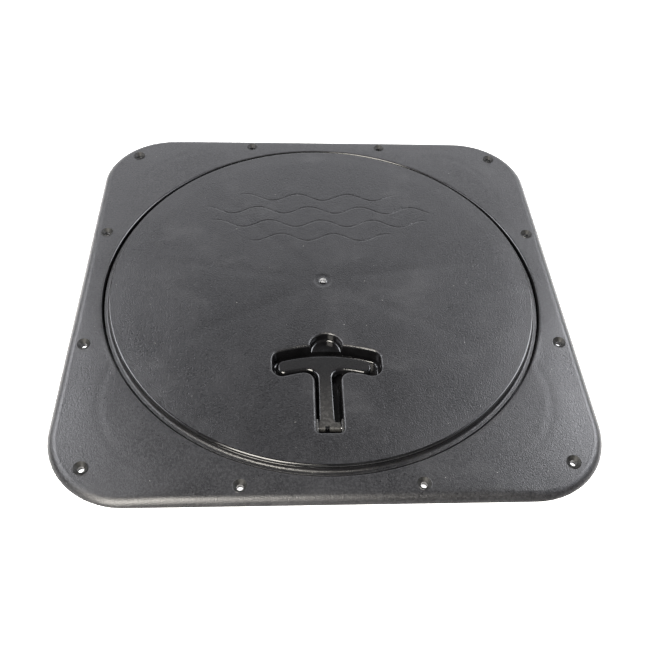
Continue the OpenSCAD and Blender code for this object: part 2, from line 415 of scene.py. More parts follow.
def edge_rings(shell):
    """Rings of the rolled edge, from the flat top to the foot."""
    first, last = 0.17, EDGE_TURN - 0.04    # radians from upright: clear of the flat and of the foot
    rings = []
    for a in [first + (last - first) * i / 12 for i in range(13)]:
        run, drop = FLAT_RUN + EDGE_R * sin(a), EDGE_R * (1 - cos(a))
        share = 1 - a / EDGE_TURN
        rings.append(shell.add([(x, y, FLANGE_TOP - drop - share * flange_warp(x, y))
                                for x, y in rounded_square(run)]))
    foot = [(0, 0.22), (-0.25, 0.04), (-0.7, 0)]
    rings += [shell.level(rounded_square(CORNER_R + grow), GASKET_T + up) for grow, up in foot]
    shell.loft(rings)
    return rings[0], rings[-1]


def gusset_star():
    """Outline of the webs that run from the collar out under the seat."""
    points = []
    foot, tip, half = COLLAR_R - 1, TUB_R - 0.6, GUSSET_HALF
    web = [(foot, -half), (tip, -half), (tip, half), (foot, half)]
    for i in range(GUSSETS):
        turn = radians(GUSSET_TURN + i * 360 / GUSSETS)
        points += [turned(x, y, turn) for x, y in web]
    return points


def gusset_solid():
    """The gussets, one wedge each, as one temporary solid."""
    solid = Surface()
    star = gusset_star()
    for i in range(GUSSETS):
        web = star[4 * i:4 * i + 4]
        low = [GUSSET_FOOT_Z, GUSSET_TIP_Z, GUSSET_TIP_Z, GUSSET_FOOT_Z]
        bottom = solid.add([(x, y, z) for (x, y), z in zip(web, low)])
        top = solid.level(web, SEAT_FLOOR_Z + 1)
        solid.bridge(bottom, top)
        solid.faces += [tuple(bottom), tuple(top)]
    return solid.build("gussets")


def build_frame():
    shell = Surface()
    holes = [add_screw_hole(shell, place) for place in screw_places()]
    inner_top, inner_bottom = shell.lathe(recess_profile())
    outer_top, outer_bottom = edge_rings(shell)
    inner = [p for p in lattice(FRAME_W / 2, 5) if hypot(*p) > RECESS_R]
    inner += rounded_square(FLAT_RUN) + rounded_square(FLAT_RUN + 0.8)
    creases = [p for off in range(-7, 9, 2) for p in arc(CREASE_AT, CREASE_R + off, -50, 85, 60)]
    creases = [(x, y) for x, y in creases if hypot(x, y) > RECESS_R + 3]
    inner += [(x * side, y * end) for side in (-1, 1) for end in (-1, 1) for x, y in creases]
    inner = spread_out(inner, 0.7)
    shell.fill([outer_top, inner_top] + [top for top, _ in holes], inner, flange_height, gap=0.5)
    shell.fill([outer_bottom, inner_bottom] + [bottom for _, bottom in holes])
    piece = shell.build("frame_moulding")
    combine(piece, gusset_solid(), "UNION")
    return piece


def spread_out(points, distance):
    """Leaves out points that share a small cell with an earlier one."""
    seen, kept = set(), []
    for x, y in points:
        cell = (round(x / distance), round(y / distance))
        if cell not in seen:
            seen.add(cell)
            kept.append((x, y))
    return kept


def build_gasket():
    """Foam gasket whose cut edges bulge a little."""
    shell = Surface()
    section = [(-0.25, 0), (0, 0.35), (0.1, 0.75), (0, 1.15), (-0.25, GASKET_T)]
    outer = [shell.level(rounded_square(CORNER_R - 4.1 + grow), z) for grow, z in section]
    inner = [shell.circle(TUB_R + 1.6 - grow, z) for grow, z in section]
    loops = []
    for place in screw_places():
        rings = [shell.circle(HOLE_R + 0.1 - grow, z, place, 24) for grow, z in section]
        shell.loft(rings)
        loops.append(rings)
    shell.loft(outer)
    shell.loft(inner)
    for end in (0, -1):
        shell.fill([outer[end], inner[end]] + [rings[end] for rings in loops])
    return shell.build("foam_gasket")


# ---------- Lid ----------

# Each wave line's height on the lid, half length and phase
WAVES = [(50, 62, 0.0), (67, 92, 1.4), (84, 98, 2.8), (101, 70, 4.2)]
WAVE_RISE = 4.2
WAVE_LENGTH = 44
WAVE_DEPTH = 0.3
WAVE_HALF = 0.5


def wave_line(wave, x):
    """Height and slope of a wave line at x."""
    base, _, phase = wave
    angle = 2 * pi * x / WAVE_LENGTH + phase
    return base + WAVE_RISE * sin(angle), WAVE_RISE * 2 * pi / WAVE_LENGTH * cos(angle)


def wave_points():
    """Rows of points along each wave line and beside it, so that its groove has a clean shape."""
    points = []
    for wave in WAVES:
        for x in np.arange(-wave[1] - 1.5, wave[1] + 1.6, 1.5):
            y, slope = wave_line(wave, x)
            length = hypot(1, slope)
            for side in (-1.5, -0.75, -0.35, 0, 0.35, 0.75, 1.5):
                points.append((x - side * slope / length, y + side / length))
    return points


def wave_groove(x, y):
    """Depth of the nearest wave line's groove."""
    depth = 0
    for wave in WAVES:
        middle, slope = wave_line(wave, x)
        off = (y - middle) / hypot(1, slope)
        end = smooth_step((wave[1] - abs(x)) / 8)
        depth = max(depth, WAVE_DEPTH * end * np.exp(-(off / WAVE_HALF) ** 2))
    return depth


def rib_sink(x, y):
    """Slight hollow over each rib."""
    r = hypot(x, y)
    if r < 12:
        return 0
    turn = degrees(atan2(y, x)) - 90
    off_rib = radians((turn + 180 / RIBS) % (360 / RIBS) - 180 / RIBS) * r
    fade = smooth_step((r - 12) / 30) * smooth_step((150 - r) / 40)
    return RIB_SINK * fade * np.exp(-(off_rib / RIB_SINK_WIDTH) ** 2)


def gate_mark(x, y):
    """Shallow dimple round the moulding gate, with the trimmed gate in its middle."""
    r = hypot(x, y)
    dimple = 0.4 * smooth_step((GATE_R - r) / 2.5)
    stub = 0.5 * smooth_step((STUB_R - r) / 0.9)
    return stub - dimple


def lid_height(x, y):
    """Height of the lid's top face: a flat dome that falls a little faster in a band along its edge."""
    r, edge = hypot(x, y), LID_R - LID_EDGE_R
    dome = 0.7 * (1 - (r / edge) ** 2) + 0.3 * (1 - smooth_step((r - edge + EDGE_BAND) / EDGE_BAND))
    return LID_EDGE_Z + CROWN * dome - rib_sink(x, y) - wave_groove(x, y) + gate_mark(x, y)


def tee_right(tee, grow):
    """Right side of a T outline, from the stem's fillet up to the end of its back corner."""
    back, front = (0, tee.back_y - CURVE_R), (0, tee.front_y - CURVE_R)
    corner_x, fillet_x = tee.half_w - tee.corner_r, tee.stem_half + tee.fillet_r
    back_corner = (corner_x, back[1] + sqrt((CURVE_R - tee.corner_r) ** 2 - corner_x ** 2))
    front_corner = (corner_x, front[1] + sqrt((CURVE_R + tee.corner_r) ** 2 - corner_x ** 2))
    fillet = (fillet_x, front[1] + sqrt((CURVE_R - tee.fillet_r) ** 2 - fillet_x ** 2))
    fillet_end = degrees(atan2(fillet[1] - front[1], fillet_x))
    front_end = degrees(atan2(front_corner[1] - front[1], corner_x))
    back_end = degrees(atan2(back_corner[1] - back[1], corner_x))
    line = arc(fillet, tee.fillet_r - grow, 180, fillet_end, 14)
    line += arc(front, CURVE_R - grow, fillet_end, front_end, 7)[1:]
    line += arc(front_corner, tee.corner_r + grow, front_end - 180, 0, 14)[1:]
    upper = arc(back_corner, tee.corner_r + grow, 0, back_end, 12)
    line += between(line[-1], upper[0], 3)
    return line + upper, back_end


def crossing(grow, scoop_r):
    """Angles, about the two centres, at which the scoop's circle meets the back of the T."""
    back_y, back_r = PAN.back_y - CURVE_R, CURVE_R + grow
    apart = SCOOP_Y - back_y
    y = (apart ** 2 + back_r ** 2 - scoop_r ** 2) / (2 * apart)
    x = sqrt(back_r ** 2 - y ** 2)
    return degrees(atan2(y, x)), degrees(atan2(y - apart, x))


ARCH_STEPS = 26                 # steps across the scoop


def pan_side(grow, meet):
    """Right side of the pan's outline, from the foot's middle to the given angle on the back arc."""
    foot = arc((PAN.stem_half - PAN_FOOT_R, PAN_END + PAN_FOOT_R), PAN_FOOT_R + grow, -90, 0, 8)
    tee, back_end = tee_right(PAN, grow)
    start = (0, PAN_END - grow)
    line = [start] + between(start, foot[0], 3) + foot
    line += between(foot[-1], tee[0], 14) + tee
    return line + arc((0, PAN.back_y - CURVE_R), CURVE_R + grow, back_end, meet, 12)[1:]


def pan_ring(grow):
    """Outline of the pan with its scoop."""
    meet, start = crossing(grow, SCOOP_R + grow)
    arch = arc((0, SCOOP_Y), SCOOP_R + grow, start, 180 - start, ARCH_STEPS)
    side = pan_side(grow, meet)
    return side + arch[1:-1] + left_of(side)


def add_pan(shell, rings, grow):
    """The pan's surface, from given rings near the lid's face down to the floor.

    Grow is 0 for the inner face, and the wall's thickness for the outer one."""
    shelf_z, shelf_r = SCOOP_FLOOR - grow, SCOOP_FLOOR_R + grow
    floor_z, floor_r = PAN_FLOOR - grow, PAN_FLOOR_R + grow
    rings = rings + [shell.level(pan_ring(grow), shelf_z + shelf_r)]
    shell.loft(rings)
    last = rings[-1]
    meet, _ = crossing(grow, SCOOP_R + grow)
    count = len(pan_side(grow, meet))
    last_left, first_left = count + ARCH_STEPS - 1, count + ARCH_STEPS + 1

    # The shelf: a fillet from the scoop's wall, then a flat
    rows = [last[count - 1:count + ARCH_STEPS]]
    inner_meet = meet
    for i in range(1, 7):
        a = i * pi / 12
        r = SCOOP_R + grow - shelf_r * (1 - cos(a))
        inner_meet, start = crossing(grow, r)
        row = arc((0, SCOOP_Y), r, start, 180 - start, ARCH_STEPS)
        rows.append(shell.level(row, shelf_z + shelf_r * (1 - sin(a))))
    shell.loft(rows, closed=False)

    # The T's wall under the scoop
    angles = [inner_meet + (180 - 2 * inner_meet) * i / ARCH_STEPS for i in range(1, ARCH_STEPS)]
    low = []
    drops = [(0, shelf_z)] + [(floor_r * (1 - cos(a)), floor_z + floor_r * (1 - sin(a)))
                              for a in [i * pi / 12 for i in range(7)]]
    for shift, z in drops:
        out = grow - shift
        back_r = CURVE_R + out
        side = pan_side(out, meet)
        chord = [(back_r * cos(radians(a)), PAN.back_y - CURVE_R + back_r * sin(radians(a)))
                 for a in [inner_meet] + angles + [180 - inner_meet]]
        if low:
            low.append(shell.level(side + chord + left_of(side), z))
        else:
            right = shell.level(side, z)
            middle = shell.level(chord[1:-1], z)
            left = shell.level(left_of(side), z)
            low.append(right + [rows[-1][0]] + middle + [rows[-1][-1]] + left)
            shelf_edge = middle
    first = low[0]
    shell.bridge(last[:count], first[:count], closed=False)
    shell.bridge(last[last_left:] + last[:1], first[first_left:] + first[:1], closed=False)
    corner_right = [last[count - 1]] + [row[0] for row in rows[1:]] + [first[count - 1]]
    corner_left = [last[last_left]] + [row[-1] for row in rows[1:]] + [first[first_left]]
    shell.faces += [tuple(corner_right), tuple(corner_left)]
    shelf_points = lattice_near((0, SCOOP_Y), SCOOP_R, 2)
    shell.fill([rows[-1] + shelf_edge[::-1]], shelf_points, lambda x, y: shelf_z)
    shell.loft(low)
    shell.fill([low[-1]], lattice_near((0, -100), 45, 3), lambda x, y: floor_z)


def lattice_near(centre, reach, spacing):
    return [(x + centre[0], y + centre[1]) for x, y in lattice(reach, spacing)]


def lid_profile():
    """Section of the lid's edge, from its top face round to its underside."""
    edge = arc((LID_R - LID_EDGE_R, LID_EDGE_Z - LID_EDGE_R), LID_EDGE_R, 90, 0, 7)
    bead = [(LID_R, 7.6), (LID_R + 0.18, 7.5), (LID_R + 0.3, 7.3)]
    bead += [(LID_R + 0.3, 7.05), (LID_R + 0.12, 6.9), (LID_R, 6.8)]
    cove = arc((LID_R + COVE_R, BRIM_TOP + COVE_R), COVE_R, 180, 270, 7)
    high, low, land = GLAND_Z + GLAND_W / 2, GLAND_Z - GLAND_W / 2, 3
    rest = [(BRIM_R, BRIM_TOP), (BRIM_R, BRIM_Z), (RIM_IN, BRIM_Z), (RIM_IN, PLATE_Z)]
    rest += [(SKIRT_R, PLATE_Z), (SKIRT_R, high + land), (GLAND_R, high + land), (GLAND_R, high)]
    rest += [(SKIRT_R, high), (SKIRT_R, low), (GLAND_R, low), (GLAND_R, low - land / 2)]
    rest += [(GLAND_R - land / 2, low - land), (SKIRT_R, low - land)]
    rest += [(SKIRT_R, SKIRT_Z), (SKIRT_IN, SKIRT_Z), (SKIRT_IN, PLATE_Z), (SKIRT_IN - 1.5, PLATE_Z)]
    return edge + bead + cove[:-1] + soften([cove[-1]] + rest, 0.5)


def rib_star():
    """Outline of the hub and the ribs under the lid."""
    points = []
    step = 360 / RIBS
    flank = degrees(np.arcsin(RIB_HALF / HUB_R))
    for i in range(RIBS):
        turn = 90 + i * step
        points += [turned(SKIRT_IN + 1.5, side, radians(turn)) for side in (-RIB_HALF, RIB_HALF)]
        points += arc((0, 0), HUB_R, turn + flank, turn + step - flank, 8)
    return points


def gate_points():
    """Rings of points in and round the gate mark."""
    radii = (1.2, 2.4, 2.9, 3.3, 3.7, 4.6, 5.4, 6.2, 7, 7.6, 8.4, 9.8)
    return [p for r in radii for p in arc((0, 0), r, 0, 350, 35)]


def pan_rim(shell):
    """Rings of the rounded rim that leads from the lid's face into the pan."""
    rim = []
    for i in range(7):
        a = i * pi / 12
        ring = shell.level(pan_ring(PAN_RIM_R * (1 - sin(a))), 0)
        for j in ring:
            x, y, _ = shell.points[j]
            shell.points[j] = (x, y, lid_height(x, y) - PAN_RIM_R * (1 - cos(a)))
        rim.append(ring)
    return rim


def build_lid():
    shell = Surface()
    top, underside = shell.lathe(lid_profile())
    rim = pan_rim(shell)
    waves = wave_points()
    grid = lattice(LID_R, 3)
    grid = grid[far_from(grid, waves[3::7], 3.2)]
    grid = grid[np.hypot(grid[:, 0], grid[:, 1]) > 11]
    inner = np.concatenate([grid, np.array(spread_out(waves, 0.3)), np.array(gate_points())])
    shell.fill([top, rim[0]], inner, lid_height)
    add_pan(shell, rim, 0)

    below = [shell.level(pan_ring(PAN_WALL + 1), PLATE_Z)]
    below.append(shell.level(pan_ring(PAN_WALL + 0.3), PLATE_Z - 0.3))
    shell.fill([underside, below[0]], lattice(SKIRT_IN, 12), lambda x, y: PLATE_Z)
    add_pan(shell, below, PAN_WALL)
    piece = shell.build("lid_moulding")
    ribs = prism("ribs", rib_star(), RIB_Z, PLATE_Z + 1.5)
    pan_space = prism("pan_space", pan_ring(PAN_WALL / 2), PAN_FLOOR - 8, LID_EDGE_Z + 5)
    combine(ribs, pan_space, "DIFFERENCE")
    combine(piece, ribs, "UNION")
    return piece


def build_seal():
    """Round seal ring with the faint parting line of its mould."""
    shell = Surface()
    rings = []
    for i, a in enumerate(circle_angles(24)):
        r = SEAL_D / 2 + (0.04 if i % 12 == 0 else 0)
        rings.append(shell.circle(SEAL_R + min(r * cos(a), SEAL_D / 2), GLAND_Z + r * sin(a)))
    shell.loft(rings + rings[:1])
    return shell.build("seal_ring")


# ---------- Handle ----------

def handle_outline():
    """The handle's outline, and what each point is on.

    That is the foot's barrel, its left or right corner, the notch, or an edge of the rest."""
    notch = [STEM_X - NOTCH_HALF, STEM_X + NOTCH_HALF]
    front = [(x, "barrel") for x in np.linspace(-FOOT_HALF + 0.6, notch[0], 5)] + [(notch[0], "notch")]
    front += [(x, "notch") for x in np.linspace(notch[0], notch[1], 4)[1:-1]]
    front += [(notch[1], "notch")] + [(x, "barrel") for x in np.linspace(notch[1], FOOT_HALF - 0.6, 8)]
    points = [(x, PIVOT_Y - FOOT_R, kind) for x, kind in front]
    points = [(-FOOT_HALF, PIVOT_Y - FOOT_R, "left")] + points + [(FOOT_HALF, PIVOT_Y - FOOT_R, "right")]

    tee, back_end = tee_right(GRIP, 0)
    stem_low = GRIP.stem_half + STEM_SPREAD

    def side(foot_x, slant):
        """One side, from the foot's side up to the grip's back corner, as if on the right."""
        shoulder = [(foot_x, FOOT_BACK - slant), (stem_low, FOOT_BACK + slant)]
        corner = soften([(foot_x, PIVOT_Y + 0.8)] + shoulder + [(stem_low, FOOT_BACK + 3)], 0.9, 4)
        return corner + between(corner[-1], tee[0], 14) + tee

    right = [(x + STEM_X, y, "edge") for x, y in side(FOOT_HALF - STEM_X, 0.05)]
    left = [(-x + STEM_X, y, "edge") for x, y in side(FOOT_HALF + STEM_X, 0.8)]
    back = arc((0, GRIP.back_y - CURVE_R), CURVE_R, back_end, 180 - back_end, 26)[1:-1]
    points += right + [(x + STEM_X, y, "edge") for x, y in back] + left[::-1]
    return points


def handle_row(outline, a, side):
    """One ring of the handle, at an angle of its edge rounding.

    Side is 1 for the top half and -1 for the bottom."""
    row = []
    count = len(outline)
    for i, (x, y, kind) in enumerate(outline):
        if kind != "edge":
            y = PIVOT_Y - FOOT_R * cos(a)
            z = PIVOT_Z + side * FOOT_R * sin(a)
            if kind == "notch":
                y = max(y, NOTCH_Y)
            if kind == "left":
                x += 0.5 * (1 - cos(a))
            if kind == "right":
                x -= 0.5 * (1 - cos(a))
            row.append((x, y, z))
            continue
        before, after = outline[i - 1], outline[(i + 1) % count]
        along = Vector((after[0] - before[0], after[1] - before[1])).normalized()
        facing_foot = max(along.x, 0) if y > GRIP.front_y - 14 and y < GRIP.back_y else 0
        r = 1.3 + 1.4 * smooth_step(facing_foot) if side > 0 else 0.9
        if y < FOOT_BACK + 1.5:
            r = 0.5
        inset = r * (1 - cos(a))
        z = HANDLE_TOP - r * (1 - sin(a)) if side > 0 else HANDLE_BOTTOM + r * (1 - sin(a))
        row.append((x - along.y * inset, y + along.x * inset, z))
    return row


def ring_on_pivot(shell, x, r):
    """A ring about the handle's axis."""
    return shell.add([(x, PIVOT_Y + r * cos(a), PIVOT_Z + r * sin(a)) for a in circle_angles(PIN_STEPS)])


def build_handle():
    shell = Surface()
    outline = handle_outline()
    angles = [i * pi / 16 for i in range(9)]
    low = [shell.add(handle_row(outline, a, -1)) for a in reversed(angles)]
    high = [shell.add(handle_row(outline, a, 1)) for a in angles]
    shell.loft(low + high)
    grid = lattice_near((0, -105), 42, 2.2)
    shell.fill([high[-1]], grid, lambda x, y: HANDLE_TOP)
    shell.fill([low[0]], grid, lambda x, y: HANDLE_BOTTOM)
    piece = shell.build("tee_handle")
    bore = Surface()
    ends = [ring_on_pivot(bore, x, PIN_R + 0.05) for x in (-FOOT_HALF - 1, FOOT_HALF + 1)]
    bore.loft(ends)
    bore.faces += [tuple(end) for end in ends]
    combine(piece, bore.build("bore"), "DIFFERENCE")
    return piece


def build_pin():
    """Ground pin with chamfered ends."""
    shell = Surface()
    profile = [(-PIN_HALF, PIN_R - 0.3), (-PIN_HALF + 0.08, PIN_R - 0.18), (-PIN_HALF + 0.3, PIN_R)]
    profile += [(x, PIN_R) for x in np.linspace(-PIN_HALF + 2, PIN_HALF - 2, 7)]
    profile += [(-x, r) for x, r in reversed(profile[:3])]
    rings = [ring_on_pivot(shell, x, r) for x, r in profile]
    shell.loft(rings)
    shell.faces += [tuple(rings[0]), tuple(rings[-1])]
    return shell.build("hinge_pin")


def build_keeper(name, side):
    """Block with rounded edges that holds one end of the pin. Side is -1 for left and 1 for right."""
    shell = Surface()
    x_mid, y_mid = (KEEPER_X[0] + KEEPER_X[1]) / 2, (KEEPER_Y[0] + KEEPER_Y[1]) / 2
    half_x, half_y = (KEEPER_X[1] - KEEPER_X[0]) / 2, (KEEPER_Y[1] - KEEPER_Y[0]) / 2

    def outline(inset):
        r = 0.7 - inset / 2
        x, y = half_x - inset - r, half_y - inset - r
        quarters = [((x, y), 0), ((-x, y), 90), ((-x, -y), 180), ((x, -y), 270)]
        points = [p for centre, start in quarters for p in arc(centre, r, start, start + 90, 5)]
        return [(side * (x_mid + px), y_mid + py) for px, py in points]

    levels = [(0.5, KEEPER_Z[0]), (0.15, KEEPER_Z[0] + 0.15), (0, KEEPER_Z[0] + 0.5)]
    levels += [(0, z) for z in np.linspace(1, 8, 6)]
    levels += [(0, KEEPER_Z[1] - 0.5), (0.15, KEEPER_Z[1] - 0.15), (0.5, KEEPER_Z[1])]
    rings = [shell.level(outline(inset), z) for inset, z in levels]
    shell.loft(rings)
    shell.faces += [tuple(rings[0]), tuple(rings[-1])]
    return shell.build(name)


# ---------- Materials ----------

class Shader:
    """A material's nodes, with short calls that add and join them."""

    def __init__(self, name):
        self.material = bpy.data.materials.new(name)
        self.material.use_nodes = True
        self.tree = self.material.node_tree
        self.surface = self.tree.nodes["Principled BSDF"]
        self.place = self.node("ShaderNodeTexCoord").outputs["Object"]

    def put(self, socket, value):
        if isinstance(value, bpy.types.NodeSocket):
            self.tree.links.new(value, socket)
        else:
            socket.default_value = value

    def node(self, kind, inputs=None, **settings):
        node = self.tree.nodes.new(kind)
        for name, value in settings.items():
            setattr(node, name, value)
        for name, value in (inputs or {}).items():
            self.put(node.inputs[name], value)
        return node

    def noise(self, size, detail=3, roughness=0.5, place=None):
        """Noise whose features are about the given size in millimetres."""
        values = {"Vector": place or self.place, "Scale": 1 / (size * MM)}
        values.update({"Detail": detail, "Roughness": roughness})
        return self.node("ShaderNodeTexNoise", values).outputs[0]

    def cells(self, size):
        """Flat cells of about the given size in millimetres."""
        values = {"Vector": self.place, "Scale": 1 / (size * MM)}
        return self.node("ShaderNodeTexVoronoi", values, voronoi_dimensions="2D")

    def remap(self, value, low, high, to_low=0.0, to_high=1.0):
        values = {"Value": value, "From Min": low, "From Max": high, "To Min": to_low, "To Max": to_high}
        return self.node("ShaderNodeMapRange", values, interpolation_type="SMOOTHSTEP").outputs[0]

    def math(self, operation, a, b):
        node = self.node("ShaderNodeMath", operation=operation)
        self.put(node.inputs[0], a)
        self.put(node.inputs[1], b)
        return node.outputs[0]

    def mix(self, share, a, b):
        node = self.node("ShaderNodeMix", data_type="RGBA")
        self.put(node.inputs["Factor"], share)
        self.put(node.inputs["A"], a)
        self.put(node.inputs["B"], b)
        return node.outputs["Result"]

    def stretched(self, x, y, z=1, turn=0):
        """Places scaled along each axis, and turned about Z by some degrees."""
        values = {"Vector": self.place, "Scale": (x, y, z), "Rotation": (0, 0, radians(turn))}
        return self.node("ShaderNodeMapping", values).outputs[0]

    def bump(self, height, depth, normal=None):
        """Bump whose full height is the given depth in millimetres."""
        node = self.node("ShaderNodeBump", {"Height": height, "Distance": depth * MM, "Strength": 1.0})
        if normal:
            self.put(node.inputs["Normal"], normal)
        return node.outputs[0]

    def finish(self, colour, roughness, normal=None, **fixed):
        """Joins the look to the surface. Fixed values go straight onto its sockets."""
        self.put(self.surface.inputs["Base Color"], colour)
        self.put(self.surface.inputs["Roughness"], roughness)
        if normal:
            self.put(self.surface.inputs["Normal"], normal)
        for name, value in fixed.items():
            self.surface.inputs[name.replace("_", " ")].default_value = value
        return self.material


def grained_plastic(name, dark, light, rough, grain, rub):
    """Black plastic from a textured mould: pebble grain with paler tops, clouds and dust specks.

    Dark and light are its colours, rough its range of roughness, grain the depth of its pebbles
    in millimetres, and rub how pale their tops are."""
    s = Shader(name)
    cloud = s.noise(55, 4, 0.55)
    patch = s.noise(8, 3, 0.6)
    pebble = s.noise(0.9, 1, 0.5)
    blend = s.math("ADD", s.math("MULTIPLY", cloud, 0.75), s.math("MULTIPLY", patch, 0.25))
    worn = s.remap(blend, 0.34, 0.68)
    specks = s.cells(21)
    chosen = s.remap(specks.outputs["Color"], 0.60, 0.68)
    size = s.remap(s.noise(33, 1), 0.35, 0.65, 0.003, 0.016)
    speck = s.math("MULTIPLY", s.math("LESS_THAN", specks.outputs["Distance"], size), chosen)
    haze = s.remap(s.noise(48, 5, 0.62, s.stretched(1, 1.5)), 0.52, 0.74, 0.0, 0.4)
    colour = s.mix(worn, (*dark, 1), (*light, 1))
    colour = s.mix(haze, colour, (0.032, 0.032, 0.0335, 1))
    tops = s.remap(s.noise(1.5, 3, 0.65), 0.40, 0.64, 0.0, rub)
    colour = s.mix(tops, colour, (0.034, 0.034, 0.036, 1))
    colour = s.mix(speck, colour, (0.20, 0.20, 0.19, 1))
    roughness = s.remap(worn, 0.0, 1.0, rough[0], rough[1])
    roughness = s.math("ADD", roughness, s.math("MULTIPLY", s.math("SUBTRACT", pebble, 0.5), 0.25))
    normal = s.bump(pebble, grain)
    normal = s.bump(cloud, 0.3, normal)
    return s.finish(colour, roughness, normal)


def polished_plastic():
    """The same plastic from smooth mould faces: glossy, with soft waviness and hairline rubs."""
    s = Shader("smooth_plastic")
    haze = s.remap(s.noise(12, 4, 0.6), 0.35, 0.7)
    hair = s.remap(s.noise(0.7, 2, 0.5, s.stretched(1.0, 0.06, 1.0, 20)), 0.62, 0.75)
    shade = s.mix(haze, (0.003, 0.003, 0.0033, 1), (0.0051, 0.0051, 0.00561, 1))
    roughness = s.math("ADD", s.remap(haze, 0.0, 1.0, 0.12, 0.2), s.math("MULTIPLY", hair, 0.08))
    normal = s.bump(s.noise(5, 2, 0.5), 0.03)
    normal = s.bump(hair, 0.003, normal)
    return s.finish(shade, roughness, normal)


def worn_plastic():
    """The handle's plastic: smooth, with scuffs, and dust that thickens towards its foot."""
    s = Shader("handle_plastic")
    along = s.node("ShaderNodeSeparateXYZ", {"Vector": s.place}).outputs["Y"]
    settled = s.remap(along, -140 * MM, -84 * MM, 0.26, 0.0)
    scuffs = s.math("MULTIPLY", s.remap(s.noise(2.5, 3, 0.6), 0.4, 0.7), s.math("ADD", settled, 0.03))
    dust = s.math("ADD", settled, scuffs)
    colour = s.mix(dust, (0.008, 0.008, 0.0085, 1), (0.06, 0.058, 0.054, 1))
    roughness = s.remap(dust, 0.0, 1.0, 0.22, 0.44)
    return s.finish(colour, roughness, s.bump(s.noise(1.0, 2), 0.06))


def cut_plastic(name, dark, light):
    """Plastic that a cutter has scraped, which is dull. Dark and light are its colours."""
    s = Shader(name)
    marks = s.noise(0.5, 3, 0.6, s.stretched(1, 1, 6))
    shade = s.mix(s.remap(s.noise(1.6, 3), 0.35, 0.65), (*dark, 1), (*light, 1))
    roughness = s.remap(marks, 0.3, 0.7, 0.45, 0.65)
    return s.finish(shade, roughness, s.bump(marks, 0.04), Specular_IOR_Level=0.34)


def steel():
    """Ground stainless rod, with fine lines round it."""
    s = Shader("ground_steel")
    lines = s.noise(0.35, 3, 0.6, s.stretched(1, 0.05, 0.05))
    shade = s.mix(s.noise(4, 3), (0.50, 0.50, 0.51, 1), (0.66, 0.66, 0.67, 1))
    return s.finish(shade, s.remap(lines, 0.3, 0.7, 0.22, 0.42), s.bump(lines, 0.004), Metallic=1.0)


def rubber():
    """Black rubber with a pale bloom in patches."""
    s = Shader("seal_rubber")
    bloom = s.remap(s.noise(9, 4, 0.6), 0.4, 0.7)
    shade = s.mix(bloom, (0.014, 0.014, 0.015, 1), (0.035, 0.035, 0.036, 1))
    return s.finish(shade, s.remap(bloom, 0, 1, 0.45, 0.7), s.bump(s.noise(0.8, 3), 0.02))


def foam():
    """Closed-cell foam with small pores."""
    s = Shader("gasket_foam")
    pores = s.cells(0.9)
    shade = s.mix(s.noise(6, 3), (0.018, 0.018, 0.018, 1), (0.032, 0.032, 0.032, 1))
    return s.finish(shade, 0.85, s.bump(pores.outputs["Distance"], 0.12))


# ---------- Pieces on their bodies ----------

def place(piece, materials, body, slot, finish=None):
    """Gives a piece its materials, even shading and body.

    Where finish is given, it says for each face's middle and normal which material the face has. The
    slot is not used."""
    piece.data.materials.clear()
    for material in materials:
        piece.data.materials.append(material)
    if finish:
        for face in piece.data.polygons:
            face.material_index = finish(face.center / MM, face.normal)
    even = piece.modifiers.new("even_shading", "WEIGHTED_NORMAL")
    even.keep_sharp = True
    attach(piece, body)


def frame_finish(middle, normal):
    """Grain on the flange's top and rolled edge, scraped screw holes, smooth elsewhere."""
    from_screw = min(hypot(middle.x - x, middle.y - y) for x, y in screw_places())
    if from_screw < SINK_R + 0.1 and middle.z > FLANGE_TOP - SINK_R + HOLE_R - 0.1:
        return 2
    outside = hypot(middle.x, middle.y) > RECESS_R + RECESS_RIM_R * 0.5
    return 0 if outside and middle.z > GASKET_T + 0.3 and normal.z > 0.2 else 1


pan_edge = np.array(pan_ring(PAN_RIM_R * 0.3))


def lid_finish(middle, normal):
    """Grain on the lid's top face and brim, a scraped gate in its middle whose pale colour is partly a
    painted glint, smooth elsewhere.
    """
    r = hypot(middle.x, middle.y)
    if r > LID_R - 0.1 and 0 < middle.z < 6.8:
        return 0
    if r < STUB_R + 0.3 and middle.z > LID_EDGE_Z:
        # The gate's pale material is partly its torn surface and partly a painted glint.
        return 2 if r < STUB_R - 1 else 1
    on_top = normal.z > 0.5 and middle.z > LID_EDGE_Z - 1.2 and r < LID_R - LID_EDGE_R
    if on_top and middle.y < -40 and abs(middle.x) < 45:
        on_top = not enclosed(np.array([middle.xy]), [pan_edge])[0]
    return 0 if on_top else 1


def handle_finish(middle, normal):
    """Smooth on the sides; smooth and dark in the notch, where the darkness is painted shade; dusty on
    the top face and on the front of the foot.
    """
    # The notch takes the dark smooth plastic instead of the dusty one, as painted shade in the slot.
    in_notch = abs(middle.x - STEM_X) < NOTCH_HALF and middle.y < PIVOT_Y
    return 0 if normal.z > (0.1 if middle.y < PIVOT_Y else 0.97) and not in_notch else 1


frame_plastic = grained_plastic("frame_plastic", (0.006, 0.006, 0.0068), (0.012, 0.012, 0.0132),
                                rough=(0.32, 0.35), grain=0.15, rub=0.5)
lid_plastic = grained_plastic("lid_plastic", (0.005, 0.005, 0.0058), (0.009, 0.009, 0.0101),
                              rough=(0.31, 0.35), grain=0.23, rub=0.26)
handle_plastic = worn_plastic()
smooth_plastic = polished_plastic()

frame_moulding = build_frame()
sunk_plastic = cut_plastic("sunk_plastic", (0.004, 0.004, 0.004), (0.016, 0.016, 0.0145))
frame_looks = [frame_plastic, smooth_plastic, sunk_plastic]
place(frame_moulding, frame_looks, "frame", "frame_plastic", frame_finish)
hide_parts("deck_frame")

foam_gasket = build_gasket()
place(foam_gasket, [foam()], "frame", "gasket_foam")
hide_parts("deck_gasket")

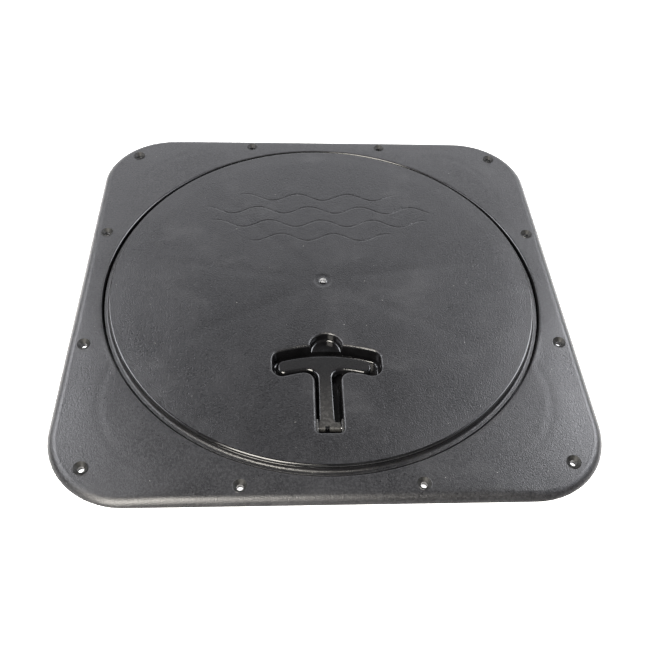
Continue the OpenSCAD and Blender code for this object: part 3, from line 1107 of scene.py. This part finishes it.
lid_moulding = build_lid()
# Pale scraped plastic for the trimmed gate: partly its torn surface, partly a painted glint.
trimmed_gate_and_glint = cut_plastic("trimmed_gate_and_glint", (0.02, 0.02, 0.02), (0.28, 0.28, 0.28))
lid_looks = [lid_plastic, smooth_plastic, trimmed_gate_and_glint]
place(lid_moulding, lid_looks, "lid", "lid_plastic", lid_finish)
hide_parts("lid")

seal_ring = build_seal()
place(seal_ring, [rubber()], "seal", "seal_rubber")
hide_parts("lid_seal")

tee_handle = build_handle()
place(tee_handle, [handle_plastic, smooth_plastic], "handle", "handle_plastic", handle_finish)
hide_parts("handle")

hinge_pin = build_pin()
place(hinge_pin, [steel()], "lid", "pin_steel")
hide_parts("handle_pin")

keeper_left = build_keeper("keeper_left", -1)
keeper_right = build_keeper("keeper_right", 1)
for keeper in (keeper_left, keeper_right):
    place(keeper, [handle_plastic], "lid", "lid_plastic")
    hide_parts("pin_keepers")


# ---------- Stage, lights and camera ----------

def soft_light(name, position, size, energy, colour):
    """A rectangular soft light that faces the hatch. Position and size are in metres."""
    lamp = bpy.data.lights.new(name, "AREA")
    lamp.shape = "RECTANGLE"
    lamp.size, lamp.size_y = size
    lamp.energy = energy
    lamp.color = colour
    light = bpy.data.objects.new(name, lamp)
    light.location = position
    light.rotation_euler = (-light.location).to_track_quat("-Z", "Y").to_euler()
    bpy.context.scene.collection.objects.link(light)


def build_stage():
    """A pale floor just under the collar, which glows so that it stays white."""
    floor = Surface()
    reach = 3000
    corners = [(-reach, -reach), (reach, -reach), (reach, reach), (-reach, reach)]
    floor.faces.append(tuple(floor.level(corners, COLLAR_Z - 0.2)))
    floor = floor.build("floor")
    s = Shader("white_floor")
    shade = s.mix(s.noise(40, 3), (0.86, 0.86, 0.86, 1), (0.90, 0.90, 0.90, 1))
    glow = {"Emission_Color": (1, 1, 1, 1), "Emission_Strength": 0.95}
    floor.data.materials.append(s.finish(shade, 0.9, **glow))


def build_world():
    """A dim studio whose walls are white up to a little above the horizon."""
    world = bpy.data.worlds.new("studio")
    world.use_nodes = True
    nodes, links = world.node_tree.nodes, world.node_tree.links
    height = nodes.new("ShaderNodeSeparateXYZ")
    links.new(nodes.new("ShaderNodeTexCoord").outputs["Generated"], height.inputs["Vector"])
    fade = nodes.new("ShaderNodeMapRange")
    fade.interpolation_type = "SMOOTHSTEP"
    band = {"From Min": 0.15, "From Max": 0.32, "To Min": 1.0, "To Max": 0.12}
    for name, value in band.items():
        fade.inputs[name].default_value = value
    links.new(height.outputs["Z"], fade.inputs["Value"])
    back = nodes["Background"]
    back.inputs["Color"].default_value = (1, 1, 1, 1)
    links.new(fade.outputs[0], back.inputs["Strength"])
    bpy.context.scene.world = world


def build_lights():
    cool, cooler, warm = (0.94, 0.95, 1.0), (0.86, 0.9, 1.0), (1.0, 0.95, 0.87)
    soft_light("back_softbox", (0.1, 2.0, 1.08), (3.2, 1.3), 24, cool)
    soft_light("left_softbox", (-1.25, 0.75, 1.3), (0.9, 0.9), 29, cool)
    soft_light("right_softbox", (1.34, 0.74, 1.24), (0.9, 0.9), 34, cool)
    soft_light("left_window", (-1.4, -0.1, 1.4), (0.6, 0.6), 8, cool)
    soft_light("right_window", (1.4, -0.1, 1.4), (0.6, 0.6), 5, cooler)
    soft_light("warm_light", (-0.68, -1.2, 1.4), (0.8, 1.5), 90, warm)


def build_camera():
    """The camera. Its place is in shares of half the pitch of the corner screw holes."""
    unit = CORNER_PITCH / 2 * MM
    position = Vector((-0.20457, -2.55881, 2.70829)) * unit + Vector((0, 0, FLANGE_TOP * MM))
    forward = Vector((0.05781, 0.64570, -0.76140)).normalized()
    right = Vector((0.99833, -0.03912, 0.04262)).normalized()
    up = right.cross(forward)
    lens = bpy.data.cameras.new("camera")
    lens.lens, lens.sensor_width = 42.25, 36
    camera = bpy.data.objects.new("camera", lens)
    turn = Matrix((right, up, -forward)).transposed().to_4x4()
    turn.translation = position
    camera.matrix_world = turn
    bpy.context.scene.collection.objects.link(camera)
    bpy.context.scene.camera = camera


build_stage()
build_world()
build_lights()
build_camera()
bpy.context.scene.view_settings.view_transform = "Standard"
